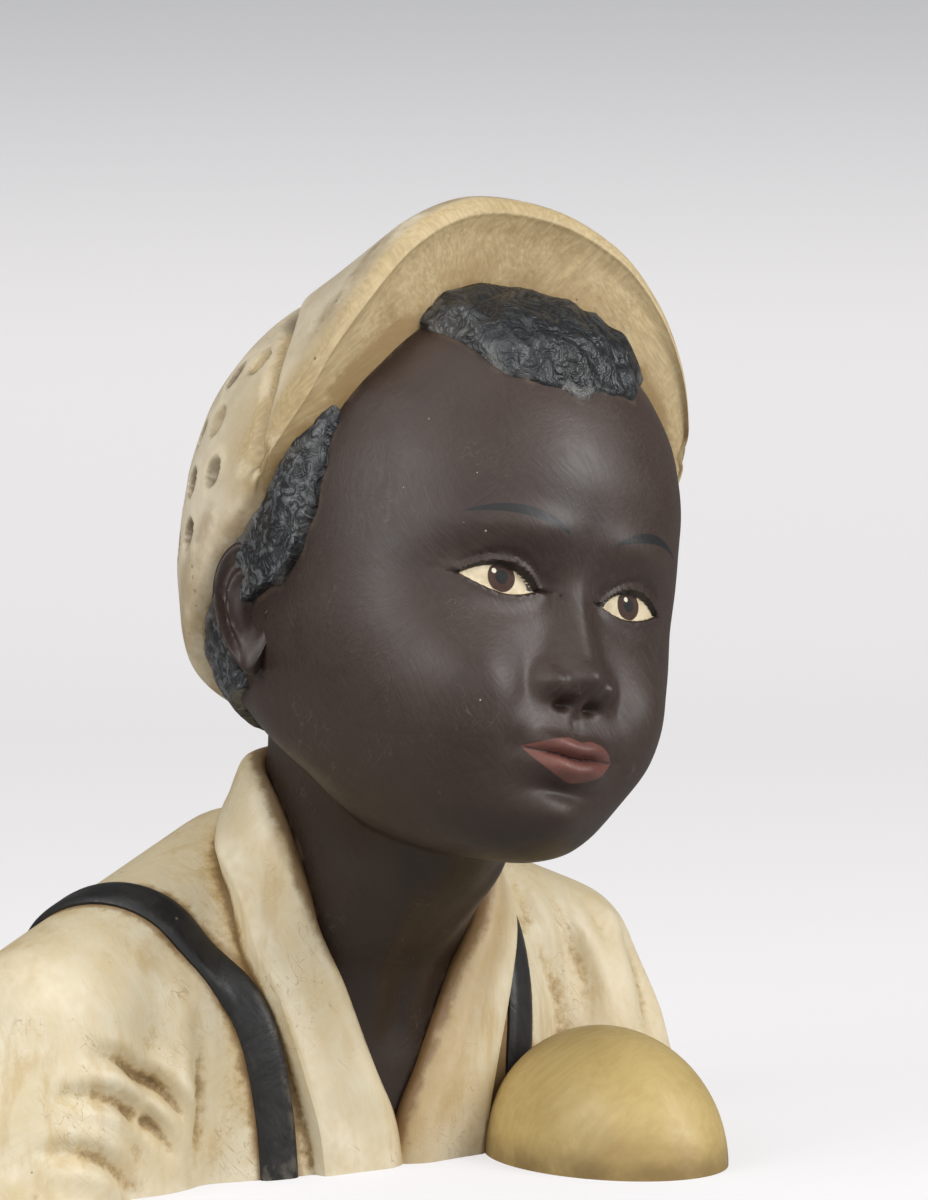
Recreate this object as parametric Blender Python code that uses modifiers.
"""Painted plaster bust of a child in a cap with a turned-up peak, cut flat below the chest.

The child faces -Y, +X is the child's left, and the flat underside lies on Z = 0.
"""

import math

import bmesh
import bpy
import numpy as np
from mathutils import Euler, Matrix, Vector
from mathutils.bvhtree import BVHTree

# Driving dimensions, in metres
HEAD_HEIGHT = 0.150
CAP_THICKNESS = 0.0085
CAP_EDGE_TUCK = 0.005
CAP_EDGE_BAND = 0.030
PEAK_REACH = 0.0215
PEAK_THICKNESS = 0.0080
PEAK_DISH = 0.0022
PEAK_GROOVE_DEPTH = 0.0035
VENT_RADIUS = 0.0036
VENT_DEPTH = 0.0022
VENTS_IN_ROW = 4
HAIR_RISE = 0.0042
FRINGE_RISE = 0.0075
STRAP_WIDTH = 0.0088
STRAP_RISE = 0.0016
COLLAR_RISE = 0.0052
COLLAR_SINK = 0.012
FOLD_DEPTH = 0.0024

# How finely the forms are melted together, in body units, and how many triangles are kept before the flat cut
MELT_SIZE = 1.6
SHIRT_MELT_SIZE = 2.0
TRIANGLES = 11800
WELD = 0.00001

# Places on the body are in this unit, which is a millimetre at the real head height
UNIT = HEAD_HEIGHT / 150

# The head's place on the body, and how it is turned, tipped back and leaned to the child's left
HEAD_CENTRE = (0.5, -52, 158)
HEAD_TURN = math.radians(-4)
HEAD_LIFT = math.radians(8.5)
HEAD_LEAN = math.radians(12.5)

# Level sections of the bare head, in head heights: height, front, back, half width, widest place, squareness
HEAD_ROWS = (
    (0.500, -0.020, 0.020, 0.000, 0.020, 2.00),
    (0.470, 0.190, 0.230, 0.170, 0.030, 2.00),
    (0.420, 0.285, 0.320, 0.260, 0.030, 2.00),
    (0.340, 0.360, 0.395, 0.325, 0.030, 2.05),
    (0.240, 0.405, 0.435, 0.368, 0.030, 2.10),
    (0.120, 0.425, 0.445, 0.385, 0.030, 2.15),
    (0.020, 0.415, 0.445, 0.382, 0.020, 2.25),
    (-0.060, 0.395, 0.425, 0.374, 0.000, 2.35),
    (-0.140, 0.390, 0.400, 0.365, -0.020, 2.40),
    (-0.220, 0.395, 0.330, 0.345, -0.030, 2.35),
    (-0.300, 0.400, 0.230, 0.312, -0.050, 2.25),
    (-0.370, 0.392, 0.120, 0.262, -0.080, 2.15),
    (-0.430, 0.380, 0.050, 0.205, -0.120, 2.10),
    (-0.470, 0.350, -0.060, 0.150, -0.170, 2.00),
    (-0.490, 0.315, -0.140, 0.095, -0.210, 2.00),
    (-0.500, 0.250, -0.250, 0.000, -0.250, 2.00),
)

# The neck and the skin of the chest, in body units, with the same columns
NECK_ROWS = (
    (140, 54, -4, 0, -30, 2.0),
    (134, 78, 6, 20, -32, 2.0),
    (111, 74, 12, 29, -30, 2.0),
    (82, 62, 15, 29.5, -24, 2.0),
    (66, 46, 22, 31, -12, 2.1),
    (52, 33.5, 28, 36, 0, 2.3),
    (34, 30, 34, 46, 6, 2.6),
    (10, 29.5, 36, 50, 8, 2.8),
    (-20, 29, 34, 46, 8, 2.6),
    (-40, -8, 8, 0, 8, 2.0),
)

# The trunk under the shirt, in body units, with the same columns
TRUNK_ROWS = (
    (101, -10, 10, 0, 10, 2.0),
    (97, 0, 20, 15, 12, 2.0),
    (89, 13, 32, 33, 14, 2.1),
    (74, 25, 47, 54, 18, 2.3),
    (56, 31, 60, 71, 20, 2.5),
    (30, 33, 72, 81, 20, 2.7),
    (0, 33, 80, 84, 20, 2.7),
    (-40, 30, 82, 78, 22, 2.6),
    (-80, -26, 26, 0, 26, 2.0),
)

NOSE_RIDGE = (
    (-0.268, 0.0),
    (-0.250, 0.018),
    (-0.230, 0.056),
    (-0.205, 0.074),
    (-0.170, 0.062),
    (-0.120, 0.040),
    (-0.060, 0.022),
    (0.000, 0.010),
    (0.050, 0.0),
)
EYE_PLACE = (0.132, -0.045)
EYE_HALF_WIDTH = 0.066
MOUTH_HEIGHT = -0.335
MOUTH_HALF_WIDTH = 0.096

EAR_PLACE = (0.372, 0.045, -0.100)
EAR_HALF_HEIGHT = 0.122
EAR_HALF_WIDTH = 0.064
EAR_FLARE = math.radians(26)

# The cap is laid out in polar angles about this axis through the head's centre
CAP_AXIS = Vector((0, 0.79, 0.613)).normalized()
CAP_EDGE = ((0, 70), (45, 82), (77, 82), (100, 79), (125, 75), (180, 69))
PEAK_FADE = (58, 72)
# Rows of holes: how far down from the axis, where the first sits from the front, and the step between holes
VENT_ROWS = ((60, 60, 14.5), (47, 68, 15.5), (34, 62, 22))
PEAK_MIDDLE = -12
PEAK_OUTLINE = ((0, 1.0), (14, 0.94), (28, 0.64), (42, 0.32), (54, 0.08), (74, 0.0))
PEAK_BAND = ((0, 1.0), (34, 1.0), (50, 0.75), (66, 0.35), (90, 0.3))
CAP_FULLNESS = 0.004



def curve(t, points):
    """A smooth curve through (place, value) points that never swings past them."""
    xs, ys = (np.array(c, float) for c in zip(*sorted(points)))
    rise = np.diff(ys) / np.diff(xs)
    slope = np.zeros(len(xs))
    same_way = rise[:-1] * rise[1:] > 0
    slope[1:-1][same_way] = (2 * rise[:-1] * rise[1:])[same_way] / (rise[:-1] + rise[1:])[same_way]
    slope[0], slope[-1] = rise[0], rise[-1]
    t = np.clip(t, xs[0], xs[-1])
    i = np.clip(np.searchsorted(xs, t) - 1, 0, len(xs) - 2)
    step = xs[i + 1] - xs[i]
    s = (t - xs[i]) / step
    return (
        ys[i] * (1 + 2 * s) * (1 - s) ** 2
        + ys[i + 1] * s * s * (3 - 2 * s)
        + step * s * (1 - s) * (slope[i] * (1 - s) - slope[i + 1] * s)
    )


def even_curve(t, points):
    """The same for a table that starts at 0 and reads alike on both sides of it."""
    return curve(t, [(-place, value) for place, value in points if place > 0] + list(points))


def ease(t):
    """0 below 0, 1 above 1, and smooth between."""
    t = np.clip(t, 0, 1)
    return t * t * (3 - 2 * t)


def bump(x, z, cx, cz, sx, sz):
    """A soft round hill of height 1."""
    return np.exp(-(((x - cx) / sx) ** 2) - ((z - cz) / sz) ** 2)


def signed_power(value, power):
    return np.sign(value) * np.abs(value) ** power


def mesh_object(name, bm, collection=None):
    mesh = bpy.data.meshes.new(name)
    bm.to_mesh(mesh)
    bm.free()
    mesh.shade_smooth()
    made = bpy.data.objects.new(name, mesh)
    (collection or bpy.context.scene.collection).objects.link(made)
    return made


def points_of(made):
    co = np.empty(len(made.data.vertices) * 3)
    made.data.vertices.foreach_get("co", co)
    return co.reshape(-1, 3)


def normals_of(made):
    co = np.empty(len(made.data.vertices) * 3)
    made.data.vertex_normals.foreach_get("vector", co)
    return co.reshape(-1, 3)


def move_points(made, co):
    made.data.vertices.foreach_set("co", np.asarray(co, float).ravel())
    made.data.update()


def shaped_ball(name, columns, rows, place):
    """A grid wrapped into a ball, whose points go where place(azimuth, polar angle) says. Azimuth 0 is the front."""
    bm = bmesh.new()
    bmesh.ops.create_grid(bm, x_segments=columns, y_segments=rows, size=1)
    for vert in bm.verts:
        around, down = vert.co.x * math.pi, (1 - vert.co.y) / 2 * math.pi
        vert.co = (math.sin(down) * math.sin(around), -math.sin(down) * math.cos(around), math.cos(down))
    bmesh.ops.remove_doubles(bm, verts=bm.verts, dist=WELD)
    made = mesh_object(name, bm)
    x, y, z = points_of(made).T
    move_points(made, place(np.arctan2(x, -y), np.arccos(np.clip(z, -1, 1))))
    return made


def section_place(rows, azimuth, polar):
    """Points on level sections, whose columns are height, front, back, half width, widest place, squareness."""
    table = np.array(rows, float)
    top, bottom = table[0, 0], table[-1, 0]
    middle, reach = (top + bottom) / 2, (top - bottom) / 2
    keys = np.arccos(np.clip((table[:, 0] - middle) / reach, -1, 1))
    front, back, width, widest, power = (curve(polar, list(zip(keys, c))) for c in table.T[1:])
    side, ahead = np.sin(azimuth), np.cos(azimuth)
    exponent = 2 / power
    x = width * signed_power(side, exponent)
    forward = (front + widest) * np.abs(ahead) ** exponent
    backward = (back - widest) * np.abs(ahead) ** exponent
    y = np.where(ahead > 0, widest - forward, widest + backward)
    return np.stack([x, y, middle + reach * np.cos(polar)], axis=1)


def dense_front(azimuth, strength):
    """Draws the columns of a ball together at the front."""
    return azimuth - strength * np.sin(azimuth)


def dense_rows(polar, strength, centre):
    """Draws the rows of a ball together at one polar angle, given as a share of the way down."""
    v = polar / math.pi
    start = centre - 0.5
    wave = np.sin(2 * math.pi * (v - start)) + math.sin(2 * math.pi * start)
    return math.pi * (v + strength * wave / (2 * math.pi))


def head_matrix():
    turn = Euler((-HEAD_LIFT, HEAD_LEAN, HEAD_TURN), "XYZ").to_matrix().to_4x4()
    return Matrix.Translation(Vector(HEAD_CENTRE) * UNIT) @ turn @ Matrix.Scale(HEAD_HEIGHT, 4)


def from_head(co):
    """Head shares to the body's metres."""
    m = np.array(head_matrix())
    return co @ m[:3, :3].T + m[:3, 3]


def soft_max(a, b, blend):
    """The larger of two heights, with the crease between them filled."""
    gap = np.clip(np.abs(a - b) / blend, 0, 1)
    return np.maximum(a, b) + blend * (1 - gap) ** 2 / 4


def nose_push(x, z):
    half = curve(z, ((-0.25, 0.050), (-0.20, 0.046), (-0.12, 0.038), (0.0, 0.044)))
    body = curve(z, NOSE_RIDGE) * np.exp(-((np.abs(x) / half) ** 2.0))
    tip = 0.078 * bump(x, z, 0, -0.202, 0.040, 0.036)
    wings = 0.048 * bump(np.abs(x), z, 0.053, -0.216, 0.027, 0.026)
    nostrils = 0.020 * bump(np.abs(x), z, 0.027, -0.246, 0.016, 0.010)
    creases = 0.005 * bump(np.abs(x), z, 0.088, -0.222, 0.014, 0.030)
    return soft_max(soft_max(body, tip, 0.012), wings, 0.014) - nostrils - creases


def mouth_line(x):
    return MOUTH_HEIGHT + 0.005 * (np.abs(x) / MOUTH_HALF_WIDTH) ** 2 - 0.004 * np.exp(-((x / 0.02) ** 2))


def lips_push(x, z):
    line = mouth_line(x)
    across = ease((MOUTH_HALF_WIDTH * 1.08 - np.abs(x)) / (MOUTH_HALF_WIDTH * 0.75))
    upper = 0.017 * np.exp(-(((z - line - 0.017) / 0.014) ** 2))
    lower = 0.019 * np.exp(-(((z - line + 0.021) / 0.018) ** 2))
    seam = 0.011 * np.exp(-(((z - line) / 0.0050) ** 2))
    philtrum = 0.004 * bump(x, z, 0, -0.283, 0.011, 0.020)
    corners = 0.010 * bump(np.abs(x), z, 0.104, MOUTH_HEIGHT + 0.004, 0.018, 0.018)
    return across * (upper + lower - seam) - philtrum - corners


def eye_edges(dx):
    """Heights of the upper and lower lid edges over the eye's centre, dx growing outwards."""
    share = np.clip(np.abs(dx) / EYE_HALF_WIDTH, 0, 1)
    slant = 0.06 * dx
    return slant + 0.029 * (1 - share**2.2), slant - 0.019 * (1 - share**2.0)


def face_push(x, y, z):
    """How far forward the features bring the bare head, in head heights."""
    muzzle = 0.022 * bump(x, z, 0, -0.33, 0.120, 0.085)
    chin = 0.020 * bump(x, z, 0, -0.437, 0.075, 0.042) - 0.009 * bump(x, z, 0, -0.392, 0.065, 0.016)
    cheeks = 0.024 * bump(np.abs(x), z, 0.195, -0.215, 0.095, 0.100)
    brows = 0.010 * bump(np.abs(x), z, 0.125, 0.035, 0.085, 0.028) - 0.007 * bump(x, z, 0, -0.01, 0.045, 0.05)
    forward = -y + muzzle + chin + cheeks + brows + nose_push(x, z) + lips_push(x, z)
    dx = np.abs(x) - EYE_PLACE[0]
    dz = z - EYE_PLACE[1]
    socket = forward - 0.034 * np.exp(-((dx / 0.090) ** 2) - (dz / 0.052) ** 2)
    inside = np.clip(1 - (dx / 0.104) ** 2 - (dz / 0.070) ** 2, 0, None)
    ball = 0.329 + 0.052 * np.sqrt(inside + 0.0025) - 0.13 * dx
    lid = ball + 0.0075
    covered = np.where(inside > 0, soft_max(lid, socket, 0.022), socket)
    edge = ease(inside / 0.12)
    covered = edge * covered + (1 - edge) * socket
    upper, lower = eye_edges(dx)
    opening = np.minimum(upper - dz, dz - lower)
    crease = 0.0042 * np.exp(-(((dz - upper - 0.016) / 0.0055) ** 2)) * ease((0.082 - np.abs(dx)) / 0.035)
    open_share = ease(opening / 0.0060 + 0.5) * ease(inside / 0.2)
    return covered - crease - np.maximum(covered - crease - ball, 0) * open_share + y


def head_place(azimuth, polar):
    a = dense_front(azimuth, 0.62)
    p = dense_rows(polar, 0.45, 0.66)
    co = section_place(HEAD_ROWS, a, p)
    x, y, z = co.T
    front = ease((1.35 - np.abs(a)) / 0.45)
    co[:, 1] -= face_push(x, y, z) * front
    return from_head(co)


def bare_head_place(azimuth, polar):
    return section_place(HEAD_ROWS, azimuth, polar)


def neck_place(azimuth, polar):
    return section_place(NECK_ROWS, azimuth, polar) * UNIT


def ear_place(side, azimuth, polar):
    """An upright lens with a rim, a bowl, a flap and a lobe. Azimuth 0 of the ball looks outwards."""
    out = np.sin(polar) * np.cos(azimuth)
    back = np.sin(polar) * np.sin(azimuth)
    up = np.cos(polar)
    radius = np.hypot(back, up)
    angle = np.degrees(np.arctan2(up, back))
    along_rim = ease((angle + 75) / 40) * ease((200 - angle) / 25) + ease((-160 - angle) / 15)
    inner_rim = ease((angle + 70) / 30) * ease((115 - angle) / 30)
    rise = 0.020 * np.sqrt(np.clip(1 - 0.55 * radius**2, 0, 1))
    rise = rise + 0.011 * np.exp(-(((radius - 0.86) / 0.10) ** 2)) * np.clip(along_rim, 0, 1)
    rise = rise - 0.007 * np.exp(-(((radius - 0.66) / 0.09) ** 2)) * np.clip(along_rim, 0, 1)
    rise = rise + 0.007 * np.exp(-(((radius - 0.47) / 0.09) ** 2)) * inner_rim
    rise = rise - 0.021 * bump(back, up, -0.16, -0.10, 0.34, 0.36)
    rise = rise + 0.012 * bump(back, up, -0.66, -0.14, 0.15, 0.17)
    rise = rise + 0.005 * bump(back, up, -0.05, -0.84, 0.40, 0.22)
    outward = np.where(out > 0, rise * np.minimum(1, out * 3), out * 0.05)
    half = EAR_HALF_WIDTH * (1 + 0.28 * up - 0.10 * up**2)
    p, q, r = back * half, up * EAR_HALF_HEIGHT, outward
    lean = math.radians(10)
    p, q = p * math.cos(lean) + q * math.sin(lean), q * math.cos(lean) - p * math.sin(lean)
    x = r * math.cos(EAR_FLARE) + p * math.sin(EAR_FLARE)
    y = p * math.cos(EAR_FLARE) - r * math.sin(EAR_FLARE)
    co = np.stack([side * (x + EAR_PLACE[0]), y + EAR_PLACE[1], q + EAR_PLACE[2]], axis=1)
    return from_head(co)


def skull_radius(directions):
    """How far the bare head reaches from its centre along each direction, in head shares."""
    ball = shaped_ball("radius_guide", 96, 64, bare_head_place)
    bm = bmesh.new()
    bm.from_mesh(ball.data)
    tree = BVHTree.FromBMesh(bm)
    bm.free()
    bpy.data.objects.remove(ball)
    hits = (tree.ray_cast(Vector((0, 0, 0)), Vector(d)) for d in directions)
    return np.array([hit[3] or 0.4 for hit in hits])


def hair_depth(d):
    """How deep inside the hair's outline a place on the head is, in head heights. It is negative outside."""
    x, y, z = d.T
    wave = 0.010 * np.sin(x * 52) + 0.006 * np.sin(x * 97 + 1)
    fringe = z - (0.300 + np.where(x < 0, 2.0, 1.1) * x**2 + wave)
    fringe = np.minimum(fringe, -0.02 - y)
    temple = curve(z, ((-0.05, 0.005), (0.0, -0.035), (0.05, -0.085), (0.12, -0.122), (0.20, -0.135), (0.3, -0.12)))
    side = np.minimum(y - temple - 0.004 * np.sin(z * 80), z + 0.045)
    nape = np.minimum(y - 0.085, z + 0.265 - 0.25 * np.clip(np.abs(x) - 0.2, 0, 1))
    return np.maximum(np.maximum(fringe, side), nape)


def hair_place(azimuth, polar):
    a = dense_front(azimuth, 0.2)
    unit = np.stack([np.sin(polar) * np.sin(a), -np.sin(polar) * np.cos(a), np.cos(polar)], axis=1)
    reach = skull_radius(unit)
    on_skull = unit * reach[:, None]
    depth = hair_depth(on_skull)
    fringe = ease((-on_skull[:, 1]) / 0.12) * ease(depth / 0.09)
    rise = (HAIR_RISE + (FRINGE_RISE - HAIR_RISE) * fringe) / HEAD_HEIGHT
    sink = 0.022
    seen = ease(depth / 0.022 + 0.5) * (1 - under_cap(unit))
    height = -sink + (sink + rise) * seen
    inside = ease(depth / 0.03)
    return from_head(unit * (reach + height + inside * hair_locks(on_skull))[:, None])


def under_cap(unit):
    """1 where a direction lies well inside the cap's edge and 0 outside it."""
    ahead, left, axis = (np.array(a) for a in cap_axes())
    angle = np.degrees(np.arccos(np.clip(unit @ axis, -1, 1)))
    around = np.degrees(np.arctan2(unit @ left, unit @ ahead))
    return ease((even_curve(around, CAP_EDGE) - 4 - angle) / 5)


def hair_locks(co):
    """Short lumpy curls, in head heights."""
    x, y, z = co.T
    a = np.sin(x * 46 + 2.0 * np.sin(z * 31 + 1.0) + 1.2 * np.sin(y * 37))
    b = np.sin(z * 43 + 2.0 * np.sin(x * 33 + 0.5) + 1.5 * np.sin(y * 41 + 2.0))
    return 0.006 * a * b


def cap_axes():
    """Unit vectors of the cap's polar layout: front of the edge, the child's left, and the axis."""
    ahead = Vector((0, -CAP_AXIS.z, CAP_AXIS.y))
    return ahead, Vector((1, 0, 0)), CAP_AXIS


def cap_profiles(outline, band):
    """Two outlines of the cap towards its edge, each as distance from the edge and rise over the head, in metres."""
    t, w, g = CAP_THICKNESS, PEAK_THICKNESS * band, PEAK_GROOVE_DEPTH
    r = PEAK_REACH * outline
    step = CAP_EDGE_BAND / 30
    near = step * band
    plain = (
        (30 * step, t), (26 * step, t), (22 * step, t), (18.5 * step, t), (15.5 * step, t), (12.5 * step, t),
        (9.5 * step, t), (7 * step, 0.98 * t), (4.5 * step, 0.95 * t), (2.5 * step, 0.88 * t),
        (step, 0.76 * t), (0.2 * step, 0.5 * t), (0.0, 0.1 * t), (0.0, -CAP_EDGE_TUCK),
    )
    peak = (
        (30 * step, t), (w + 6 * step + 7 * near, t), (w + 2.5 * step + 7 * near, t - 0.35 * g),
        (w + 7 * near, t - g), (w + 5 * near, t - 0.2 * g), (w + 3 * near, t + 0.30 * r),
        (w + near, t + 0.70 * r), (w, t + 0.90 * r), (0.70 * w, t + r), (0.28 * w, t + 0.985 * r),
        (0.0, t + 0.88 * r), (PEAK_DISH, t + 0.45 * r), (0.6 * PEAK_DISH, 0.75 * t), (-step, -CAP_EDGE_TUCK),
    )
    return plain, peak


def peak_share(from_peak):
    return ease((PEAK_FADE[1] - from_peak) / (PEAK_FADE[1] - PEAK_FADE[0]))


def along_profile(s, profile, column):
    """The profile's distance or rise at the share s of its length, for each point of the cap."""
    count = len(profile)
    at = np.clip(s * (count - 1), 0, count - 1.000001)
    low = at.astype(int)
    part = at - low
    values = np.stack([np.broadcast_to(np.asarray(point[column], float), s.shape) for point in profile])
    rows = np.arange(len(s))

    def pick(i):
        return values[np.clip(i, 0, count - 1), rows]

    before, first, second, after = pick(low - 1), pick(low), pick(low + 1), pick(low + 2)
    cubic = 0.5 * (
        2 * first
        + (second - before) * part
        + (2 * before - 5 * first + 4 * second - after) * part**2
        + (3 * first - before - 3 * second + after) * part**3
    )
    return cubic


def cap_place(azimuth, polar):
    """The cap in polar layout: rows run from its crown over the peak to the edge and in to the head's centre."""
    around = azimuth - 0.25 * np.sin(azimuth)
    degrees = np.degrees(around)
    edge = np.radians(even_curve(degrees, CAP_EDGE))
    from_peak = np.abs(degrees - PEAK_MIDDLE)
    plain, peak = cap_profiles(even_curve(from_peak, PEAK_OUTLINE), even_curve(from_peak, PEAK_BAND))
    share = peak_share(from_peak)
    mid_radius = 0.52 * HEAD_HEIGHT
    v = polar / math.pi
    crown_end, last = 0.46, 0.97
    s = np.clip((v - crown_end) / (last - crown_end), 0, 1)
    distance, rise = (
        (1 - share) * along_profile(s, plain, k) + share * along_profile(s, peak, k) for k in (0, 1)
    )
    profile_angle = edge - distance / mid_radius
    crown_angle = (edge - plain[0][0] / mid_radius) * (v / crown_end)
    angle = np.where(v < crown_end, crown_angle, profile_angle)
    ahead, left, axis = (np.array(a) for a in cap_axes())
    flat = np.cos(around)[:, None] * ahead + np.sin(around)[:, None] * left
    unit = np.cos(angle)[:, None] * axis + np.sin(angle)[:, None] * flat
    reach = skull_radius(unit)
    rise = np.where(v < crown_end, CAP_THICKNESS, rise) / HEAD_HEIGHT
    fullness = CAP_FULLNESS * np.sin(np.clip(angle / edge, 0, 1) * math.pi) ** 2
    radius = reach + rise + fullness
    for centre in vent_centres():
        apart = np.linalg.norm(unit - centre, axis=1) * radius * HEAD_HEIGHT
        radius = radius - VENT_DEPTH / HEAD_HEIGHT * ease((1.25 * VENT_RADIUS - apart) / (0.7 * VENT_RADIUS))
    radius = radius * np.where(v > last, np.clip((1 - v) / (1 - last), 0, 1), 1)
    return from_head(unit * radius[:, None])


def vent_centres():
    """Directions of the punched air holes: three staggered rows on each side of the crown."""
    ahead, left, axis = (np.array(a) for a in cap_axes())
    centres = []
    for side in (-1, 1):
        for down, first, pitch in VENT_ROWS:
            for place in range(VENTS_IN_ROW):
                around, tilt = math.radians(first + pitch * place), math.radians(down)
                flat = math.cos(around) * ahead + side * math.sin(around) * left
                centres.append(math.cos(tilt) * axis + math.sin(tilt) * flat)
    return centres


def limb(name, start, end, start_radius, end_radius, columns=32, rows=24):
    """A round limb between two points, in body units."""
    start, end = Vector(start) * UNIT, Vector(end) * UNIT
    run = end - start
    turn = np.array(run.to_track_quat("-Z", "Y").to_matrix())

    def place(azimuth, polar):
        half = np.clip((np.cos(polar) + 0.35) / 0.7, 0, 1)
        radius = (end_radius + (start_radius - end_radius) * half) * UNIT
        cap = np.where(half >= 1, (np.cos(polar) - 0.35) / 0.65, np.where(half <= 0, (np.cos(polar) + 0.35) / 0.65, 0))
        ring = np.sqrt(np.clip(1 - cap**2, 0, 1)) * radius
        along = (1 - half) * run.length - cap * radius
        local = np.stack([ring * np.sin(azimuth), ring * np.cos(azimuth), -along], axis=1)
        return local @ turn.T + np.array(start)

    return shaped_ball(name, columns, rows, place)


def joined(name, parts):
    """One object holding the meshes of several, which are removed."""
    bm = bmesh.new()
    for part in parts:
        bm.from_mesh(part.data)
        bpy.data.objects.remove(part)
    return mesh_object(name, bm)


def with_modifiers(made):
    """The object again, with its modifiers applied."""
    graph = bpy.context.evaluated_depsgraph_get()
    mesh = bpy.data.meshes.new_from_object(made.evaluated_get(graph))
    made.modifiers.clear()
    made.data = mesh
    return made


def melted(made, size, smoothing):
    """Overlapping bodies melted into one soft skin. The size of its grid is in body units."""
    remesh = made.modifiers.new("melt", "REMESH")
    remesh.mode = "VOXEL"
    remesh.voxel_size = size * UNIT
    remesh.use_smooth_shade = True
    if smoothing:
        smooth = made.modifiers.new("soften", "SMOOTH")
        smooth.factor = 0.5
        smooth.iterations = smoothing
    return with_modifiers(made)


def shirt_folds():
    """Lines of the shirt's folds, in body units: points, width, and depth in fold depths, which is negative for a ridge."""
    right_sleeve = (
        (((-84, -14, 62), (-96, -16, 44), (-100, -20, 22), (-98, -24, 4)), 5.0, 1.0),
        (((-70, -22, 52), (-82, -26, 36), (-88, -28, 18), (-86, -30, 2)), 4.5, 1.2),
        (((-110, -6, 48), (-116, -10, 30), (-116, -14, 12)), 5.0, 0.8),
        (((-62, -30, 34), (-72, -32, 20), (-76, -34, 4)), 4.0, 0.9),
    )
    left_sleeve = (
        (((56, -8, 74), (64, -22, 60), (66, -30, 40)), 4.5, 1.0),
        (((72, -4, 70), (80, -18, 54), (82, -26, 32), (76, -30, 18)), 4.5, 1.2),
        (((88, 2, 64), (98, -10, 46), (98, -22, 26), (92, -28, 12)), 5.0, 1.0),
        (((104, 4, 52), (112, -6, 36), (112, -16, 18)), 5.0, 0.8),
    )
    back = (
        (((-30, 56, 74), (-34, 72, 50), (-30, 80, 22)), 6.0, 0.8),
        (((28, 56, 74), (36, 72, 48), (34, 80, 20)), 6.0, 0.9),
        (((-78, 40, 60), (-72, 60, 40), (-62, 72, 14)), 6.0, 0.8),
        (((80, 40, 58), (74, 60, 38), (66, 72, 12)), 6.0, 0.7),
    )
    return right_sleeve + left_sleeve + back


def smooth_path(points, count):
    """Points evenly spread in parameter on a smooth curve through the given ones."""
    table = np.array(points, float)
    keys = np.linspace(0, 1, len(table))
    t = np.linspace(0, 1, count)
    return np.stack([curve(t, list(zip(keys, c))) for c in table.T], axis=1)


def fold_push(co):
    """How far the folds sink the shirt at each place, in metres."""
    push = np.zeros(len(co))
    for points, width, depth in shirt_folds():
        path = smooth_path(points, 24) * UNIT
        apart = np.full(len(co), np.inf)
        nearest = np.zeros(len(co))
        for i, p in enumerate(path):
            d = np.linalg.norm(co - p, axis=1)
            closer = d < apart
            apart[closer] = d[closer]
            nearest[closer] = i / (len(path) - 1)
        taper = np.sin(np.clip(nearest, 0.02, 0.98) * math.pi) ** 0.7
        share = apart / (width * UNIT)
        push += taper * depth * FOLD_DEPTH * (np.exp(-(share**2)) - 0.45 * np.exp(-((share - 1.7) ** 2)))
    return push


def make_shirt():
    """Trunk, shoulders and upper arms, melted together, with the neck opening sunk and the folds pressed in."""
    trunk = shaped_ball("trunk", 72, 56, lambda a, p: section_place(TRUNK_ROWS, a, p) * UNIT)
    limbs = [
        limb("right_shoulder", (-22, 14, 74), (-92, -2, 41), 21, 26),
        limb("left_shoulder", (22, 16, 74), (84, 6, 44), 20, 24),
        limb("right_arm", (-92, -2, 40), (-115, -14, -40), 26, 29),
        limb("left_arm", (84, 6, 43), (98, -22, -40), 24, 28),
        limb("right_sleeve_side", (-68, 12, 40), (-86, 4, -40), 27, 30),
        limb("left_sleeve_side", (66, 12, 42), (80, 0, -40), 25, 28),
    ]
    shirt = melted(joined("shirt", [trunk, *limbs]), SHIRT_MELT_SIZE, 16)
    co, normal = points_of(shirt), normals_of(shirt)
    x, y, z = (co / UNIT).T
    half = curve(z, ((10, 8), (40, 22), (66, 32), (84, 38), (104, 40)))
    opening = ease((half - np.abs(x)) / 6) * ease((12 - y) / 10)
    co -= normal * fold_push(co)[:, None]
    co[:, 1] += opening * 9 * UNIT
    move_points(shirt, co)
    return shirt


def collar_stations():
    """Inner and outer edge points and the outward direction down the child's right side, in body units."""
    return (
        ((0, 11, 109), (0, 23, 98), (0, 0.60, 0.80)),
        ((-17, 4, 108.5), (-21, 14, 98), (-0.45, 0.40, 0.80)),
        ((-27, -9, 104), (-37, 3, 93), (-0.66, 0.10, 0.74)),
        ((-30, -24, 90), (-46, -13, 83), (-0.60, -0.42, 0.66)),
        ((-28, -31, 70), (-46, -26, 66), (-0.25, -0.80, 0.55)),
        ((-18, -31.5, 48), (-40, -33, 46), (-0.08, -0.95, 0.30)),
        ((-9, -31.5, 27), (-34, -35, 26), (-0.03, -0.99, 0.10)),
        ((-1.5, -31, 11), (-30, -36, 10), (0, -1, 0.02)),
        ((3, -30, -14), (-27, -36, -14), (0, -1, 0)),
    )


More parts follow.
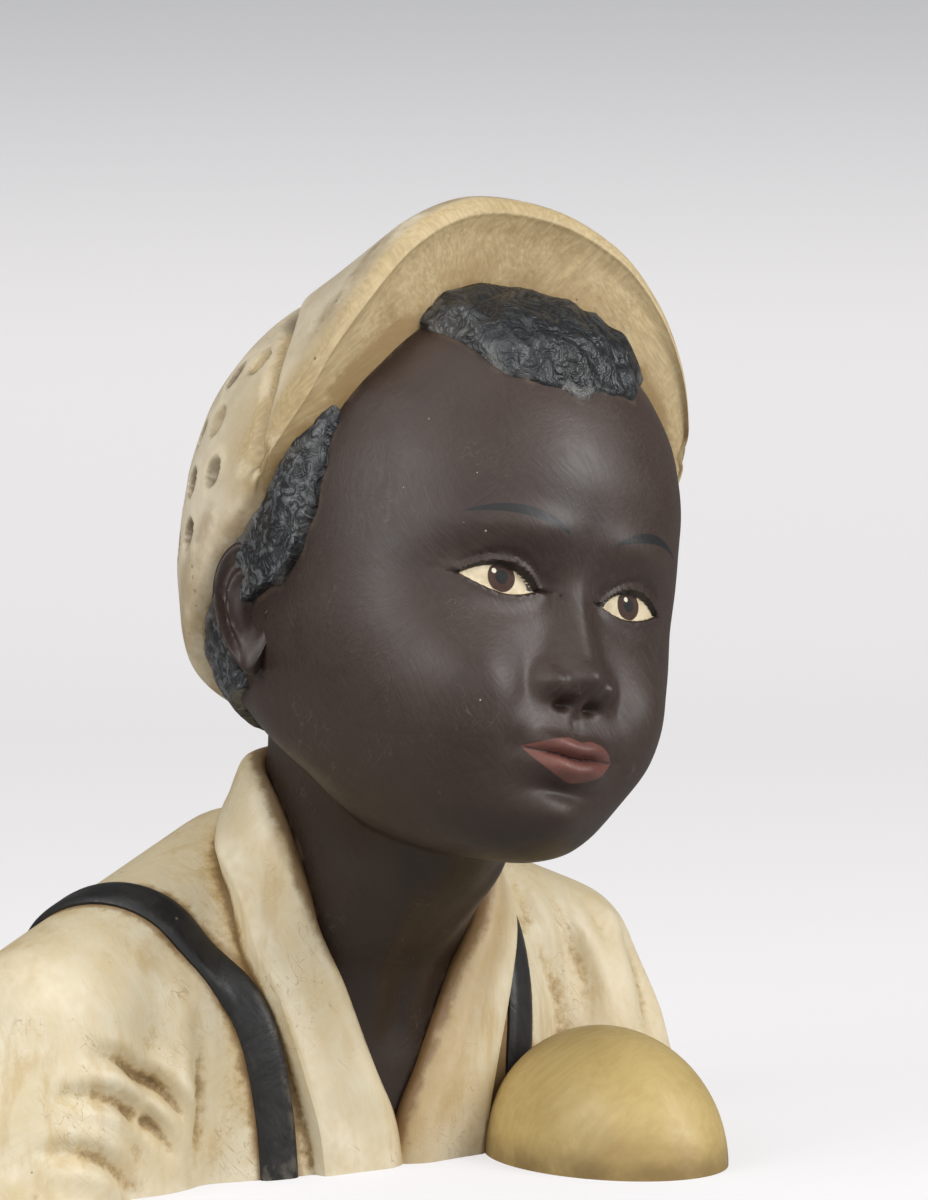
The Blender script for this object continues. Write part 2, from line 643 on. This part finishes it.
def make_collar(side, count, across):
    """One side of the open collar: a soft roll from the nape down to the foot of the neck opening."""
    inner, outer, up = (smooth_path(column, count) for column in zip(*collar_stations()))
    up /= np.linalg.norm(up, axis=1)[:, None]
    rise, sink = COLLAR_RISE / UNIT, COLLAR_SINK / UNIT
    ts = np.linspace(0, 1, across)
    roll = rise * (0.30 + 0.70 * ease(ts / 0.22)) * (1 - 0.55 * ease((ts - 0.80) / 0.20))
    roll = roll * (1 + 0.10 * np.sin(ts * math.pi * 2.2 + 2.6))
    bm = bmesh.new()
    rings = []
    for i in range(count):
        run = outer[i] - inner[i]
        ring = [inner[i] - up[i] * sink + run * 0.08]
        ring += [inner[i] + run * (t - 0.05) + up[i] * r for t, r in zip(ts, roll)]
        ring += [outer[i] - up[i] * sink - run * 0.02]
        rings.append([bm.verts.new(Vector(p) * UNIT * 1.0) for p in ring])
    for a, b in zip(rings, rings[1:]):
        for j in range(len(a)):
            bm.faces.new((a[j], a[(j + 1) % len(a)], b[(j + 1) % len(a)], b[j]))
    bm.faces.new(rings[0])
    bm.faces.new(reversed(rings[-1]))
    for vert in bm.verts:
        vert.co.x *= -side
    bmesh.ops.recalc_face_normals(bm, faces=bm.faces)
    return mesh_object("collar", bm)


def strap_path(side):
    """A brace's run from the chest over the shoulder to the back, in body units. The left one sits closer in."""
    right = (
        (-46, -36, -16), (-47, -36, 8), (-49, -35, 30), (-52, -33, 46), (-57, -27, 62), (-64, -13, 73),
        (-71, 6, 76), (-75, 26, 70), (-69, 48, 57), (-56, 68, 36), (-42, 82, 8), (-36, 86, -16),
    )
    left = (
        (45, -36, -16), (45, -36, 8), (46, -35, 28), (47, -32, 44), (48, -27, 60), (48, -18, 72),
        (49, -4, 82), (52, 14, 84), (54, 34, 76), (50, 54, 58), (42, 74, 30), (36, 86, -16),
    )
    return left if side > 0 else right


def make_strap(side, ground, count, across):
    """A flat band laid on the shirt, with rounded edges."""
    tree = tree_of(ground)
    path = [Vector(p) * UNIT for p in smooth_path(strap_path(side), count)]
    found = [tree.find_nearest(p)[:2] for p in path]
    bm = bmesh.new()
    rings = []
    for i, (place, normal) in enumerate(found):
        run = found[min(i + 1, count - 1)][0] - found[max(i - 1, 0)][0]
        sideways = normal.cross(run).normalized()
        ring = [place + sideways * STRAP_WIDTH * 0.47 - normal * 4 * STRAP_RISE]
        for j in range(across):
            t = 1 - 2 * j / (across - 1)
            at, out, _, _ = tree.find_nearest(place + sideways * t * STRAP_WIDTH / 2)
            rim = 1 - 0.45 * abs(t) ** 6
            ring.append(at + out * STRAP_RISE * rim)
        ring.append(place - sideways * STRAP_WIDTH * 0.47 - normal * 4 * STRAP_RISE)
        rings.append([bm.verts.new(p) for p in ring])
    for a, b in zip(rings, rings[1:]):
        for j in range(len(a)):
            bm.faces.new((a[j], a[(j + 1) % len(a)], b[(j + 1) % len(a)], b[j]))
    bm.faces.new(rings[0])
    bm.faces.new(reversed(rings[-1]))
    bmesh.ops.recalc_face_normals(bm, faces=bm.faces)
    return mesh_object("strap", bm)


def tree_of(made):
    bm = bmesh.new()
    bm.from_mesh(made.data)
    tree = BVHTree.FromBMesh(bm)
    bm.free()
    return tree


def knee_place(azimuth, polar):
    """The top of the drawn-up left knee."""
    x = 50 + 29 * np.sin(polar) * np.sin(azimuth)
    y = -60 - 39 * np.sin(polar) * np.cos(azimuth)
    z = 36 * np.cos(polar)
    return np.stack([x, y, z], axis=1) * UNIT


def plaster_pieces(fine):
    """The bust's forms, not yet joined. fine multiplies the number of rows and columns."""
    shirt = make_shirt()

    def n(count):
        return int(count * fine)

    return {
        "head": shaped_ball("head", n(150), n(120), head_place),
        "neck": shaped_ball("neck", n(48), n(40), neck_place),
        "right_ear": shaped_ball("right_ear", n(36), n(28), lambda a, p: ear_place(-1, a, p)),
        "left_ear": shaped_ball("left_ear", n(36), n(28), lambda a, p: ear_place(1, -a, p)),
        "hair": shaped_ball("hair", n(110), n(84), hair_place),
        "cap": shaped_ball("cap", n(110), n(84), cap_place),
        "shirt": shirt,
        "right_strap": make_strap(-1, shirt, n(60), n(7)),
        "left_strap": make_strap(1, shirt, n(60), n(7)),
        "right_collar": make_collar(-1, n(50), n(12)),
        "left_collar": make_collar(1, n(50), n(12)),
        "knee": shaped_ball("knee", n(40), n(28), knee_place),
    }


PAINTS = {
    "skin_paint": ((72, 60, 55), 0.45, ("head", "neck", "right_ear", "left_ear")),
    "hair_paint": ((48, 48, 48), 0.5, ("hair",)),
    "cap_paint": ((193, 174, 138), 0.55, ("cap",)),
    "shirt_paint": ((216, 202, 171), 0.55, ("shirt", "right_collar", "left_collar")),
    "brace_paint": ((34, 33, 32), 0.45, ("right_strap", "left_strap")),
    "trouser_paint": ((205, 181, 123), 0.55, ("knee",)),
}


def paint_material(name, colour, roughness):
    paint = bpy.data.materials.new(name)
    paint.use_nodes = True
    shader = paint.node_tree.nodes["Principled BSDF"]
    shader.inputs["Base Color"].default_value = (*((c / 255) ** 2.2 for c in colour), 1)
    shader.inputs["Roughness"].default_value = roughness
    return paint


def paint_faces(bust, trees):
    """Gives each face the paint of the form whose surface lies nearest to it."""
    owners = {}
    for index, (name, (colour, roughness, forms)) in enumerate(PAINTS.items()):
        bust.data.materials.append(paint_material(name, colour, roughness))
        owners.update(dict.fromkeys(forms, index))
    for face in bust.data.polygons:
        near = min(trees, key=lambda form: trees[form].find_nearest(face.center)[3])
        face.material_index = owners[near]


def flat_cut(bust, cutters):
    """Cuts the bust off level at its underside."""
    size = 6 * HEAD_HEIGHT
    bm = bmesh.new()
    bmesh.ops.create_cube(bm, size=size)
    bmesh.ops.translate(bm, verts=bm.verts, vec=(0, 0, -size / 2))
    below = mesh_object("below_the_bust", bm, cutters)
    below.hide_render = True
    below.display_type = "WIRE"
    cut = bust.modifiers.new("flat_underside", "BOOLEAN")
    cut.operation = "DIFFERENCE"
    cut.solver = "EXACT"
    cut.object = below
    return with_modifiers(bust)


def centred(bust):
    """Moves the bust so that the origin is under the middle of its box."""
    co = points_of(bust)
    middle = (co.min(axis=0) + co.max(axis=0)) / 2
    co[:, :2] -= middle[:2]
    move_points(bust, co)


def clear_scene():
    for old in list(bpy.data.objects):
        bpy.data.objects.remove(old)


def new_collection(name):
    made = bpy.data.collections.new(name)
    bpy.context.scene.collection.children.link(made)
    return made


def main():
    clear_scene()
    parts = new_collection("painted_plaster_bust")
    cutters = new_collection("cutters")
    pieces = plaster_pieces(1.0)
    trees = {name: tree_of(made) for name, made in pieces.items()}
    bust = melted(joined("plaster_bust", pieces.values()), MELT_SIZE, 1)
    bust.modifiers.new("lighten", "DECIMATE").ratio = TRIANGLES / (2 * len(bust.data.polygons))
    bust = flat_cut(with_modifiers(bust), cutters)
    paint_faces(bust, trees)
    centred(bust)
    bpy.context.scene.collection.objects.unlink(bust)
    parts.objects.link(bust)
    bust.data.shade_smooth()
    bust.data.set_sharp_from_angle(angle=math.radians(50))


if __name__ == "__main__":
    main()
